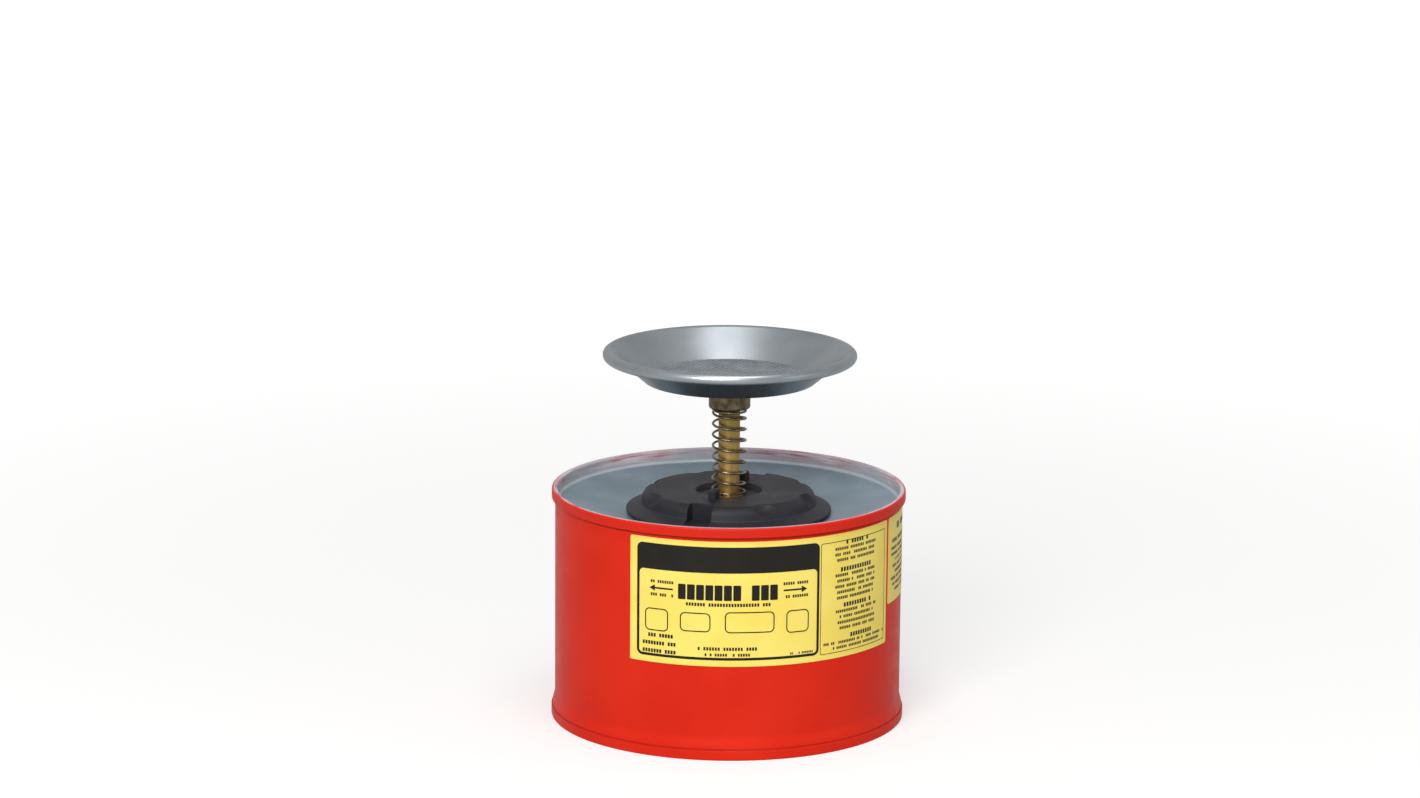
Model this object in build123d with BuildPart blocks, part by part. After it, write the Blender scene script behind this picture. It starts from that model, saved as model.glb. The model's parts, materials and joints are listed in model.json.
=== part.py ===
from build123d import *

import os
from math import asin, atan2, cos, degrees, hypot, radians, sin, tan

# A plunger can: a round sheet-steel can that holds about two litres of solvent, with a hand
# pump screwed into its lid. Pressing a cloth onto the pan drives the plunger down, and
# solvent wells up through the screen in the pan. Millimetres, +Z up, front towards -Y, and
# the origin on the can's axis in the plane that it stands on.

# ---------------------------------------------------------------- driving dimensions

# Can
sheet = 0.6  # steel sheet of the shell and both ends
seam_r = 92.0  # outside of the top and base seams
can_h = 121.3
seam_h = 5.2  # height of each rolled seam
flare_h = 12.5  # the shell widens below this height
rim_drop = 7.1  # top of the seams' wall to the lid disc
seat_drop = 13.5  # top of the seams' wall to the flat that the cap seals on
plate_z = 4.8  # top of the base plate
plate_rise = 0.8
plate_margin = 22.0  # outside of the can to the base plate's raised panel
seam_overlap_w = 6.0  # side seam of the shell, at the back

# Labels
paper = 0.2
label_drop = 7.3  # top of the can to the top of the labels
label_h = 64.9
label_from, label_to = -33.1, 64.0  # degrees from the front, towards +X
side_label_h = 45.5
side_label_from, side_label_to = 65.5, 122.0

# Neck
neck_r = 38.0  # outside of the threaded neck
neck_wall = 1.8
neck_depth = 14.1  # below the seat
neck_flange_w = 5.0
neck_flange_t = 1.2
neck_turns = 1.15  # length of the neck's ridge
seat_w = 17.5  # flat of the lid around the neck
thread_clearance = 0.4
thread_depth = 1.6
thread_lead = 6.0
ridge_w = 2.0
ridge_crest_w = 1.2
ridge_overlap = 0.4  # ridge sunk into its wall
face_gap = 0.1

# Cap: heights are above the underside of its flange
gasket_t = 1.0
gasket_w = 9.0  # beyond the neck
plug_wall = 3.2
plug_depth = 14.0
cap_turns = 1.3  # length of the cap's ridge
ridge_start = 2.2  # above the plug's end
brim_w = 7.7  # flange outside the dome
brim_t = 1.3
dome_w = 7.6  # dome outside the neck
dome_foot_rise = 4.0
dome_draft = 1.6
cap_top_rise = 11.3
shoulder_fillet = 5.0
well_r = 17.3
well_floor_rise = 8.2
well_draft = 1.0
land_drop = 0.6  # the top falls this much towards the well
boss_r = 21.0
boss_t = 4.0
cap_wall = 3.4
notch_count = 8
first_notch = -20.0  # degrees from the front
socket_depth = 9.0  # from the dome's foot towards the axis
socket_w = 13.0
socket_floor_rise = 2.2
socket_edge_r = 0.5
scallop_r = 8.0  # ball that a scallop is shaped by
scallop_out = 1.0  # the ball's centre, beyond the dome's foot
scallop_rise = 2.6  # the ball's centre, above the cap's top
scallop_edge_r = 0.8
lug_inner_r, lug_outer_r = 19.0, 26.0
lug_w = 4.2
lug_h = 4.6

# Pump
stem_r = 5.6
stem_wall = 1.15
running_gap = 0.08  # radial, where the stem or a seal slides
bush_wall = 1.77
bush_flange_w = 3.0
bush_flange_t = 2.0
bush_nose = 4.7  # below its flange
gland_across = 20.0
gland_floor = 1.2
gland_wall_h = 7.0
seal_w = 1.5  # seal beyond the bush's nose
seal_h = 2.2
barrel_r = 14.0
barrel_wall = 2.0
barrel_flange_w = 7.0
barrel_flange_t = 3.0
vent_r = 1.5
vent_drop = 20.0  # below the barrel's top face
screw_count = 3
screw_r = 2.0
screw_head_r = 3.2
screw_head_h = 2.4
screw_grip = 2.8  # bite in the cap's boss
stroke = 30.0
piston_gap = 0.5  # below the gland at rest
piston_clear = 2.2  # above the foot valve at full stroke
piston_h = 16.4
piston_skirt_gap = 0.5
seal_ring_w = 3.0
seal_ring_depth = 2.0
valve_floor = 2.0  # piston's underside to its valve seat
ball_r = 3.2
ball_lift = 2.5
foot_ball_r = 4.0
valve_port_r = 2.2
cone_h = 2.0  # height of a valve's conical seat
foot_body_h = 14.0
spigot_h = 4.0
dip_tube_r = 4.5
dip_tube_wall = 0.8
dip_socket = 5.0
strainer_r = 9.0
strainer_h = 8.0
strainer_lift = 2.0  # above the base plate
strainer_wall = 0.8
strainer_hole_r = 1.0
pin_r = 0.8
pin_inset = 2.0  # each end of a stop pin, inside its valve's wall

# Spring, hub and pan
wire_r = 0.625
coil_gap = 2.25  # between the stem and the inside of the spring
spring_l = 45.9  # between the well and the hub
spring_turns = 7.0
spring_gap = 0.05  # at each end
hub_r = 10.8
hub_h = 14.3
hub_fillet = 1.2
pan_sheet = 0.9
pan_r = 65.8
pan_h = 16.6
pan_floor_r = 44.0
pan_corner_r = 3.0
curl_r = 2.8  # outside of the rolled rim
curl_turn = 228.0  # degrees that the rim is rolled through
nut_across = 16.0
nut_h = 1.2
screen_margin = 2.0  # between the screen and the edge of the pan's floor
screen_t = 0.6
screen_h = 2.0
screen_fillet = 0.9
screen_hole_r = 0.75
screen_pitch = 3.4

# ---------------------------------------------------------------- sizes that follow

front = -90.0  # polar angle of the can's front
shell_r = seam_r - 3 * sheet
shell_inner_r = shell_r - sheet
hook_r = shell_r + 2 * sheet
seat_z = can_h - seat_drop
disc_rim_z = can_h - rim_drop
seat_r = neck_r + seat_w
plate_panel_r = seam_r - plate_margin
label_top_z = can_h - label_drop
neck_root_r = neck_r - neck_wall
plug_crest_r = neck_root_r - thread_clearance
plug_r = plug_crest_r - thread_depth
neck_bottom_z = seat_z - neck_depth
gasket_r = neck_r + gasket_w
dome_r = neck_r + dome_w
flange_r = dome_r + brim_w
flange_z = seat_z + gasket_t + 2 * face_gap
well_z = flange_z + well_floor_rise
boss_z = well_z - boss_t
cap_top_z = flange_z + cap_top_rise
land_z = cap_top_z - land_drop
plug_bottom_z = flange_z - plug_depth
bush_bore_r = stem_r + running_gap
bush_r = bush_bore_r + bush_wall
bush_flange_r = bush_r + bush_flange_w
bush_flange_z = boss_z - bush_flange_t
bush_nose_z = bush_flange_z - bush_nose
seal_r = bush_r + seal_w
gland_z = bush_nose_z - seal_h - gland_floor
barrel_bore_r = barrel_r - barrel_wall
barrel_flange_r = barrel_r + barrel_flange_w
barrel_flange_z = boss_z - barrel_flange_t
screw_circle_r = (barrel_r + barrel_flange_r) / 2
piston_r = barrel_bore_r - piston_skirt_gap
groove_r = piston_r - seal_ring_depth
piston_top_z = gland_z - piston_gap
piston_z = piston_top_z - piston_h
barrel_bottom_z = piston_z - stroke - piston_clear - spigot_h
foot_z = barrel_bottom_z - foot_body_h
strainer_z = plate_z + plate_rise + strainer_lift
hub_bottom_z = well_z + spring_l
pan_bottom_z = hub_bottom_z + hub_h
pan_floor_z = pan_bottom_z + pan_sheet
pan_top_z = pan_bottom_z + pan_h
stem_top_z = pan_floor_z + nut_h
screen_r = pan_floor_r - screen_margin


def meridian(polar):
    """An upright plane through the can's axis, facing across it at a polar angle."""
    turn = radians(polar)
    return Plane(
        origin=(0, 0, 0),
        x_dir=(cos(turn), sin(turn), 0),
        z_dir=(sin(turn), -cos(turn), 0),
    )


def seat_ball_z(seat_bottom_z, port_r, cone_top_r, radius, gap):
    """Height of a ball's centre, resting a gap above a conical seat."""
    slope = atan2(cone_h, cone_top_r - port_r)
    return seat_bottom_z - port_r * tan(slope) + (radius + gap) / cos(slope)


# ---------------------------------------------------------------- can

# Shell: straight wall, flared foot, and a hook that the lid's seam is rolled around.
with BuildPart() as can_shell:
    with BuildSketch(Plane.XZ):
        with BuildLine():
            Polyline(
                (shell_r, flare_h),
                (shell_r, can_h - 2 * sheet),
                (hook_r - sheet, can_h - 2 * sheet),
                (hook_r - sheet, can_h - seam_h + sheet + face_gap),
                (hook_r, can_h - seam_h + sheet + face_gap),
                (hook_r, can_h - sheet),
                (shell_inner_r, can_h - sheet),
                (shell_inner_r, flare_h),
            )
            Spline(
                (shell_inner_r, flare_h),
                (hook_r - sheet, seam_h + sheet),
                tangents=[(0, -1), (0, -1)],
            )
            Polyline(
                (hook_r - sheet, seam_h + sheet),
                (hook_r - sheet, sheet),
                (hook_r, sheet),
                (hook_r, seam_h + sheet),
            )
            Spline(
                (hook_r, seam_h + sheet),
                (shell_r, flare_h),
                tangents=[(0, 1), (0, 1)],
            )
        make_face()
    revolve(axis=Axis.Z)
    seam_arc = degrees(seam_overlap_w / shell_r)
    seam_top_z = can_h - seam_h - sheet
    with BuildSketch(meridian(-front - seam_arc / 2)):
        with Locations((shell_r, (flare_h + seam_top_z) / 2)):
            Rectangle(2 * sheet / 3, seam_top_z - flare_h)
    revolve(axis=Axis.Z, revolution_arc=seam_arc)

# Base: a recessed plate whose rim is rolled up around the foot of the shell.
with BuildPart() as can_base:
    with BuildSketch(Plane.XZ):
        with BuildLine():
            FilletPolyline(
                (0, plate_z + plate_rise),
                (plate_panel_r, plate_z + plate_rise),
                (plate_panel_r + 2, plate_z),
                (hook_r - sheet, plate_z),
                (hook_r - sheet, sheet),
                (hook_r, sheet),
                (hook_r, seam_h),
                (seam_r, seam_h),
                (seam_r, 0),
                (hook_r - 2 * sheet, 0),
                (hook_r - 2 * sheet, plate_z - sheet),
                (plate_panel_r + 2, plate_z - sheet),
                (plate_panel_r, plate_z + plate_rise - sheet),
                (0, plate_z + plate_rise - sheet),
                radius=[0, 1, 1, 0, 0, 0, 0, 0.4, 0.6, 0.5, 0.3, 0.8, 0.8, 0],
                close=True,
            )
        make_face()
    revolve(axis=Axis.Z)

# Lid: a dished disc in a low wall, whose rim is rolled around the shell's hook.
lid_wall_r = shell_inner_r - sheet
disc_slope = (disc_rim_z - seat_z) / (lid_wall_r - seat_r)
lid_under_z = disc_rim_z + disc_slope * sheet - hypot(sheet, sheet * disc_slope)
with BuildPart() as can_lid:
    with BuildSketch(Plane.XZ):
        with BuildLine():
            FilletPolyline(
                (neck_r, seat_z),
                (seat_r, seat_z),
                (lid_wall_r, disc_rim_z),
                (lid_wall_r, can_h),
                (seam_r, can_h),
                (seam_r, can_h - seam_h),
                (shell_r, can_h - seam_h),
                (shell_r, can_h - 2 * sheet - 2 * face_gap),
                (shell_r + sheet, can_h - 2 * sheet - 2 * face_gap),
                (shell_r + sheet, can_h - seam_h + sheet),
                (hook_r, can_h - seam_h + sheet),
                (hook_r, can_h - sheet),
                (shell_inner_r, can_h - sheet),
                (shell_inner_r, lid_under_z),
                (seat_r, seat_z - sheet),
                (neck_r, seat_z - sheet),
                radius=[0, 4, 1.5, 1, 1.2, 0.4, 0, 0, 0, 0, 0, 0, 0, 2, 4, 0],
                close=True,
            )
        make_face()
    revolve(axis=Axis.Z)

# Labels: printed paper on the shell, with a narrow gap between them.
with BuildPart() as front_label:
    with BuildSketch(meridian(front + label_from)):
        with Locations((shell_r + paper / 2, label_top_z - label_h / 2)):
            Rectangle(paper, label_h)
    revolve(axis=Axis.Z, revolution_arc=label_to - label_from)

with BuildPart() as side_label:
    with BuildSketch(meridian(front + side_label_from)):
        with Locations((shell_r + paper / 2, label_top_z - side_label_h / 2)):
            Rectangle(paper, side_label_h)
    revolve(axis=Axis.Z, revolution_arc=side_label_to - side_label_from)

# ---------------------------------------------------------------- neck and cap

# Neck: a threaded ring soldered into the lid's hole. Its ridge stands over the cap's.
cap_ridge_z = plug_bottom_z + ridge_start
neck_ridge_z = cap_ridge_z + ridge_w + thread_clearance
with BuildPart() as neck_ring:
    with BuildSketch(Plane.XZ):
        with BuildLine():
            Polyline(
                (neck_root_r, neck_bottom_z),
                (neck_r, neck_bottom_z),
                (neck_r, seat_z - sheet - neck_flange_t),
                (neck_r + neck_flange_w, seat_z - sheet - neck_flange_t),
                (neck_r + neck_flange_w, seat_z - sheet),
                (neck_r, seat_z - sheet),
                (neck_r, seat_z),
                (neck_root_r, seat_z),
                close=True,
            )
        make_face()
    revolve(axis=Axis.Z)
    with BuildLine() as neck_path:
        Helix(thread_lead, thread_lead * neck_turns, neck_root_r, center=(0, 0, neck_ridge_z))
    with BuildSketch(Plane(neck_path.line @ 0, x_dir=(1, 0, 0), z_dir=neck_path.line % 0)):
        with BuildLine():
            Polyline(
                (ridge_overlap, -ridge_w / 2),
                (-thread_depth, -ridge_crest_w / 2),
                (-thread_depth, ridge_crest_w / 2),
                (ridge_overlap, ridge_w / 2),
                close=True,
            )
        make_face()
    sweep(is_frenet=True)

# Cap gasket: a flat rubber ring between the cap's flange and the lid's seat.
with BuildPart() as cap_gasket:
    with BuildSketch(Plane.XY.offset(seat_z + face_gap)):
        Circle(gasket_r)
        Circle(neck_root_r, mode=Mode.SUBTRACT)
    extrude(amount=gasket_t)

# Cap: a moulded dome with a threaded plug below, a well for the spring, and notches round
# its edge for the fingers. Two opposed notches are square sockets for a spanner.
with BuildPart() as pump_cap:
    with BuildSketch(Plane.XZ):
        with BuildLine():
            FilletPolyline(
                (bush_r, boss_z),
                (boss_r, boss_z),
                (boss_r, land_z - cap_wall),
                (plug_r - plug_wall, land_z - cap_wall),
                (plug_r - plug_wall, plug_bottom_z),
                (plug_r, plug_bottom_z),
                (plug_r, flange_z),
                (flange_r, flange_z),
                (flange_r, flange_z + brim_t),
                (dome_r, flange_z + dome_foot_rise),
                (dome_r - dome_draft, cap_top_z),
                (well_r, land_z),
                (well_r - well_draft, well_z),
                (bush_r, well_z),
                radius=[0, 0.6, 0.6, 1, 0.5, 0.5, 0, 0.3, 0.5, 1.2, shoulder_fillet, 0.8, 0.5, 0],
                close=True,
            )
        make_face()
    revolve(axis=Axis.Z)
    reach = dome_r + brim_w / 2
    socket_l = reach - dome_r + socket_depth
    with BuildSketch(Plane.XY.offset(flange_z + socket_floor_rise)):
        with PolarLocations(reach - socket_l / 2, 2, start_angle=front + first_notch):
            RectangleRounded(socket_l, socket_w, 0.8)
    extrude(amount=cap_top_rise, mode=Mode.SUBTRACT)
    socket_rims = edges(Select.LAST).filter_by(
        lambda edge: edge.geom_type not in (GeomType.LINE, GeomType.CIRCLE)
        and edge.center().Z > flange_z + dome_foot_rise
    )
    fillet(socket_rims, socket_edge_r)
    notch_ring_r = dome_r + scallop_out
    notches = PolarLocations(notch_ring_r, notch_count, start_angle=front + first_notch)
    scallops = [place for n, place in enumerate(notches) if n % (notch_count // 2)]
    with Locations(Plane.XY.offset(cap_top_z + scallop_rise)):
        with Locations(*scallops):
            Sphere(scallop_r, mode=Mode.SUBTRACT)
    fillet(edges(Select.LAST).filter_by(GeomType.CIRCLE, reverse=True), scallop_edge_r)
    lug_l = lug_outer_r - lug_inner_r
    with BuildSketch(Plane.XY.offset(land_z - 1)):
        with PolarLocations(lug_inner_r + lug_l / 2, 2, start_angle=front + first_notch):
            RectangleRounded(lug_l, lug_w, 1.0)
    extrude(amount=lug_h + 1)
    fillet(faces().sort_by(Axis.Z)[-2:].edges(), 0.6)
    with Locations(Plane.XY.offset(boss_z)):
        with PolarLocations(screw_circle_r, screw_count):
            Cylinder(
                screw_r,
                screw_grip,
                align=(Align.CENTER, Align.CENTER, Align.MIN),
                mode=Mode.SUBTRACT,
            )
    with BuildLine() as cap_path:
        Helix(thread_lead, thread_lead * cap_turns, plug_r, center=(0, 0, cap_ridge_z))
    with BuildSketch(Plane(cap_path.line @ 0, x_dir=(1, 0, 0), z_dir=cap_path.line % 0)):
        with BuildLine():
            Polyline(
                (-ridge_overlap, -ridge_w / 2),
                (plug_crest_r - plug_r, -ridge_crest_w / 2),
                (plug_crest_r - plug_r, ridge_crest_w / 2),
                (-ridge_overlap, ridge_w / 2),
                close=True,
            )
        make_face()
    sweep(is_frenet=True)

# ---------------------------------------------------------------- pump body

# Guide bush: carries the stem, its flange held between the cap and the barrel.
with BuildPart() as guide_bush:
    with BuildSketch(Plane.XZ):
        with BuildLine():
            Polyline(
                (bush_bore_r, bush_nose_z),
                (bush_r, bush_nose_z),
                (bush_r, bush_flange_z),
                (bush_flange_r, bush_flange_z),
                (bush_flange_r, boss_z),
                (bush_r, boss_z),
                (bush_r, well_z),
                (bush_bore_r, well_z),
                close=True,
            )
        make_face()
    revolve(axis=Axis.Z)

# Stem seal: a rubber ring in the gland.
with BuildPart() as stem_seal:
    with BuildSketch(Plane.XY.offset(gland_z + gland_floor)):
        Circle(seal_r)
        Circle(bush_bore_r, mode=Mode.SUBTRACT)
    extrude(amount=seal_h)

# Gland nut: screws up the bush's nose and holds the seal.
with BuildPart() as gland_nut:
    with BuildSketch(Plane.XY.offset(gland_z)):
        RegularPolygon(gland_across / 2, 6, major_radius=False)
        Circle(bush_bore_r + face_gap, mode=Mode.SUBTRACT)
    extrude(amount=gland_floor)
    with BuildSketch(Plane.XY.offset(gland_z + gland_floor)):
        RegularPolygon(gland_across / 2, 6, major_radius=False)
        Circle(seal_r, mode=Mode.SUBTRACT)
    extrude(amount=seal_h)
    with BuildSketch(Plane.XY.offset(gland_z + gland_floor + seal_h)):
        RegularPolygon(gland_across / 2, 6, major_radius=False)
        Circle(bush_r, mode=Mode.SUBTRACT)
    extrude(amount=gland_wall_h - gland_floor - seal_h)

# Barrel: the pump's cylinder, hung from the cap by its flange, with two vents near the top.
with BuildPart() as pump_barrel:
    with BuildSketch(Plane.XZ):
        with BuildLine():
            Polyline(
                (barrel_bore_r, barrel_bottom_z),
                (barrel_r, barrel_bottom_z),
                (barrel_r, barrel_flange_z),
                (barrel_flange_r, barrel_flange_z),
                (barrel_flange_r, boss_z),
                (bush_flange_r, boss_z),
                (bush_flange_r, bush_flange_z),
                (bush_r, bush_flange_z),
                (bush_r, barrel_flange_z),
                (barrel_bore_r, barrel_flange_z),
                close=True,
            )
        make_face()
    revolve(axis=Axis.Z)
    with Locations(Plane.XY.offset(barrel_flange_z)):
        with PolarLocations(screw_circle_r, screw_count):
            Cylinder(
                screw_r,
                barrel_flange_t,
                align=(Align.CENTER, Align.CENTER, Align.MIN),
                mode=Mode.SUBTRACT,
            )
    with BuildSketch(Plane.YZ):
        with Locations((0, boss_z - vent_drop)):
            Circle(vent_r)
    extrude(amount=barrel_r + 1, both=True, mode=Mode.SUBTRACT)

# Barrel screws: three pan-head screws, driven up through the flange into the cap.
with BuildPart() as barrel_screws:
    with BuildSketch(Plane.XY.offset(barrel_flange_z)):
        with PolarLocations(screw_circle_r, screw_count):
            Circle(screw_r)
    extrude(amount=barrel_flange_t + screw_grip)
    with BuildSketch(Plane.XY.offset(barrel_flange_z)):
        with PolarLocations(screw_circle_r, screw_count):
            Circle(screw_head_r)
    extrude(amount=-screw_head_h)
    with BuildSketch(Plane.XY.offset(barrel_flange_z - screw_head_h)):
        with PolarLocations(screw_circle_r, screw_count):
            Rectangle(4 * screw_head_r, screw_head_r / 4)
    extrude(amount=screw_head_h / 2, mode=Mode.SUBTRACT)

# Foot valve: a plug in the barrel's foot with a conical seat, a ball and a stop pin.
foot_cone_r = foot_ball_r + 0.6
foot_port_top_z = foot_z + dip_socket + 1
foot_ball_z = seat_ball_z(foot_port_top_z, valve_port_r, foot_cone_r, foot_ball_r, face_gap)
foot_pin_z = foot_ball_z + foot_ball_r + ball_lift + pin_r + 2 * face_gap
with BuildPart() as foot_valve:
    with BuildSketch(Plane.XZ):
        with BuildLine():
            Polyline(
                (dip_tube_r, foot_z),
                (barrel_r, foot_z),
                (barrel_r, barrel_bottom_z),
                (barrel_bore_r, barrel_bottom_z),
                (barrel_bore_r, barrel_bottom_z + spigot_h),
                (foot_cone_r, barrel_bottom_z + spigot_h),
                (foot_cone_r, foot_port_top_z + cone_h),
                (valve_port_r, foot_port_top_z),
                (valve_port_r, foot_z + dip_socket),
                (dip_tube_r, foot_z + dip_socket),
                close=True,
            )
        make_face()
    revolve(axis=Axis.Z)
    with BuildSketch(Plane.YZ):
        with Locations((0, foot_pin_z)):
            Circle(pin_r)
    extrude(amount=barrel_bore_r - pin_inset, both=True, mode=Mode.SUBTRACT)

with BuildPart() as foot_stop_pin:
    with BuildSketch(Plane.YZ):
        with Locations((0, foot_pin_z)):
            Circle(pin_r)
    extrude(amount=barrel_bore_r - pin_inset, both=True)

with BuildPart() as foot_ball:
    with Locations((0, 0, foot_ball_z)):
        Sphere(foot_ball_r)

# Dip tube: reaches from the foot valve to the base, with the strainer over its end.
with BuildPart() as dip_tube:
    with BuildSketch(Plane.XY.offset(strainer_z + strainer_h / 2)):
        Circle(dip_tube_r)
        Circle(dip_tube_r - dip_tube_wall, mode=Mode.SUBTRACT)
    extrude(amount=foot_z + dip_socket - strainer_z - strainer_h / 2)

with BuildPart() as intake_strainer:
    with BuildSketch(Plane.XY.offset(strainer_z)):
        Circle(strainer_r)
    extrude(amount=strainer_h)
    with BuildSketch(Plane.XY.offset(strainer_z + strainer_wall)):
        Circle(strainer_r - strainer_wall)
    extrude(amount=strainer_h - 2 * strainer_wall, mode=Mode.SUBTRACT)
    with BuildSketch(Plane.XY.offset(strainer_z + strainer_h / 2)):
        Circle(dip_tube_r)
    extrude(amount=strainer_h, mode=Mode.SUBTRACT)
    for level in (0.3, 0.7):
        for turn in range(0, 180, 30):
            with BuildSketch(meridian(turn).rotated((0, 90, 0))):
                with Locations((0, strainer_z + level * strainer_h)):
                    Circle(strainer_hole_r)
            extrude(amount=strainer_r + 1, both=True, mode=Mode.SUBTRACT)

# Return spring: left-handed wire on the stem, between the well and the hub.
spring_z = well_z + wire_r + spring_gap
spring_top_z = hub_bottom_z - wire_r - spring_gap
spring_h = spring_top_z - spring_z
coil_centre_r = stem_r + coil_gap + wire_r
with BuildPart() as return_spring:
    with BuildLine() as coil:
        Helix(
            spring_h / spring_turns,
            spring_h,
            coil_centre_r,
            center=(0, 0, spring_z),
            lefthand=True,
        )
    with BuildSketch(Plane(coil.line @ 0, x_dir=(1, 0, 0), z_dir=coil.line % 0)):
        Circle(wire_r)
    sweep(is_frenet=True)

# ---------------------------------------------------------------- plunger

# Piston: brazed to the stem's foot, with a groove for its seal and a valve seat below.
valve_cone_r = ball_r + 0.8
valve_z = piston_z + valve_floor
ball_z = seat_ball_z(valve_z, valve_port_r, valve_cone_r, ball_r, face_gap)
pin_z = ball_z + ball_r + ball_lift + pin_r + 2 * face_gap
stem_foot_z = pin_z + pin_r + 0.6
seal_mid_z = piston_top_z - piston_h / 2
with BuildPart() as piston:
    with BuildSketch(Plane.XZ):
        with BuildLine():
            Polyline(
                (valve_port_r, piston_z),
                (piston_r, piston_z),
                (piston_r, seal_mid_z - seal_ring_w / 2 - face_gap),
                (groove_r, seal_mid_z - seal_ring_w / 2 - face_gap),
                (groove_r, seal_mid_z + seal_ring_w / 2 + face_gap),
                (piston_r, seal_mid_z + seal_ring_w / 2 + face_gap),
                (piston_r, piston_top_z),
                (stem_r, piston_top_z),
                (stem_r, stem_foot_z),
                (valve_cone_r, stem_foot_z),
                (valve_cone_r, valve_z + cone_h),
                (valve_port_r, valve_z),
                close=True,
            )
        make_face()
    revolve(axis=Axis.Z)
    with BuildSketch(Plane.YZ):
        with Locations((0, pin_z)):
            Circle(pin_r)
    extrude(amount=groove_r - pin_inset, both=True, mode=Mode.SUBTRACT)

# Piston seal: the ring that grips the barrel. It slides, and the piston can spin inside it.
with BuildPart() as piston_seal:
    with BuildSketch(Plane.XY.offset(seal_mid_z - seal_ring_w / 2)):
        Circle(barrel_bore_r - running_gap)
        Circle(groove_r + running_gap, mode=Mode.SUBTRACT)
    extrude(amount=seal_ring_w)

with BuildPart() as valve_stop_pin:
    with BuildSketch(Plane.YZ):
        with Locations((0, pin_z)):
            Circle(pin_r)
    extrude(amount=groove_r - pin_inset, both=True)

with BuildPart() as discharge_ball:
    with Locations((0, 0, ball_z)):
        Sphere(ball_r)

# Stem: the brass tube that the solvent rises through.
with BuildPart() as plunger_stem:
    with BuildSketch(Plane.XY.offset(stem_foot_z)):
        Circle(stem_r)
        Circle(stem_r - stem_wall, mode=Mode.SUBTRACT)
    extrude(amount=stem_top_z - stem_foot_z)

# Hub: a bronze collar under the pan, which the spring pushes on.
with BuildPart() as pan_hub:
    with BuildSketch(Plane.XY.offset(hub_bottom_z)):
        Circle(hub_r)
        Circle(stem_r, mode=Mode.SUBTRACT)
    extrude(amount=pan_bottom_z - hub_bottom_z)
    hub_rim = edges().filter_by(GeomType.CIRCLE).sort_by(SortBy.RADIUS)[-2:].sort_by(Axis.Z)[0]
    fillet(hub_rim, hub_fillet)

# Pan: a pressed dish with a rim rolled outwards. The wall leaves the floor's corner and
# meets the rolled rim on its tangent.
curl_centre_r = pan_r - curl_r
curl_centre_z = pan_top_z - curl_r
inner_curl_r = curl_r - pan_sheet
wall_run = curl_centre_r - pan_floor_r
wall_rise = curl_centre_z - pan_bottom_z
wall_slope = degrees(atan2(wall_rise, wall_run) + asin(inner_curl_r / hypot(wall_run, wall_rise)))
curl_start = 90 + wall_slope
half_slope = tan(radians(wall_slope / 2))
with BuildPart() as dasher_pan:
    with BuildSketch(Plane.XZ):
        with BuildLine() as pan_profile:
            under_curl = CenterArc(
                (curl_centre_r, curl_centre_z), inner_curl_r, curl_start, -curl_turn
            )
            over_curl = CenterArc(
                (curl_centre_r, curl_centre_z), curl_r, curl_start, -curl_turn
            )
            Line(under_curl @ 1, over_curl @ 1)
            FilletPolyline(
                under_curl @ 0,
                (pan_floor_r, pan_bottom_z),
                (stem_r, pan_bottom_z),
                (stem_r, pan_floor_z),
                (pan_floor_r - pan_sheet * half_slope, pan_floor_z),
                over_curl @ 0,
                radius=[pan_corner_r, 0, 0, pan_corner_r - pan_sheet],
            )
        make_face()
    revolve(axis=Axis.Z)

# Pan nut: holds the pan on the stem, under the screen.
with BuildPart() as pan_nut:
    with BuildSketch(Plane.XY.offset(pan_floor_z)):
        RegularPolygon(nut_across / 2, 6, major_radius=False)
        Circle(stem_r, mode=Mode.SUBTRACT)
    extrude(amount=nut_h)

# Flame screen: a perforated disc over the stem's mouth, standing on its turned-down rim.
screen_top_z = pan_floor_z + screen_h
screen_rings = int((screen_r - screen_pitch / 2) / screen_pitch)
with BuildPart() as flame_screen:
    with BuildSketch(Plane.XZ):
        with BuildLine():
            FilletPolyline(
                (0, screen_top_z),
                (screen_r, screen_top_z),
                (screen_r, pan_floor_z),
                (screen_r - screen_t, pan_floor_z),
                (screen_r - screen_t, screen_top_z - screen_t),
                (0, screen_top_z - screen_t),
                radius=[0, screen_fillet, 0, 0, screen_fillet - screen_t, 0],
                close=True,
            )
        make_face()
    revolve(axis=Axis.Z)
    with BuildSketch(Plane.XY.offset(screen_top_z - screen_h / 2)):
        Circle(screen_hole_r)
        for ring in range(1, screen_rings + 1):
            with PolarLocations(ring * screen_pitch, 6 * ring):
                Circle(screen_hole_r)
    extrude(amount=screen_h, mode=Mode.SUBTRACT)

# ---------------------------------------------------------------- write the parts

can_pieces = {
    "can_shell": can_shell,
    "can_base": can_base,
    "can_lid": can_lid,
    "front_label": front_label,
    "side_label": side_label,
    "neck_ring": neck_ring,
}
cap_pieces = {
    "cap_gasket": cap_gasket,
    "pump_cap": pump_cap,
    "guide_bush": guide_bush,
    "stem_seal": stem_seal,
    "gland_nut": gland_nut,
    "pump_barrel": pump_barrel,
    "barrel_screws": barrel_screws,
    "foot_valve": foot_valve,
    "foot_stop_pin": foot_stop_pin,
    "foot_ball": foot_ball,
    "dip_tube": dip_tube,
    "intake_strainer": intake_strainer,
    "return_spring": return_spring,
}
plunger_pieces = {
    "piston": piston,
    "piston_seal": piston_seal,
    "valve_stop_pin": valve_stop_pin,
    "discharge_ball": discharge_ball,
    "plunger_stem": plunger_stem,
    "pan_hub": pan_hub,
    "dasher_pan": dasher_pan,
    "pan_nut": pan_nut,
    "flame_screen": flame_screen,
}
for name, piece in {**can_pieces, **cap_pieces, **plunger_pieces}.items():
    piece.part.label = name
    export_step(piece.part, f"parts/{name}.step")
    print(name, round(piece.part.volume, 1))
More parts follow.
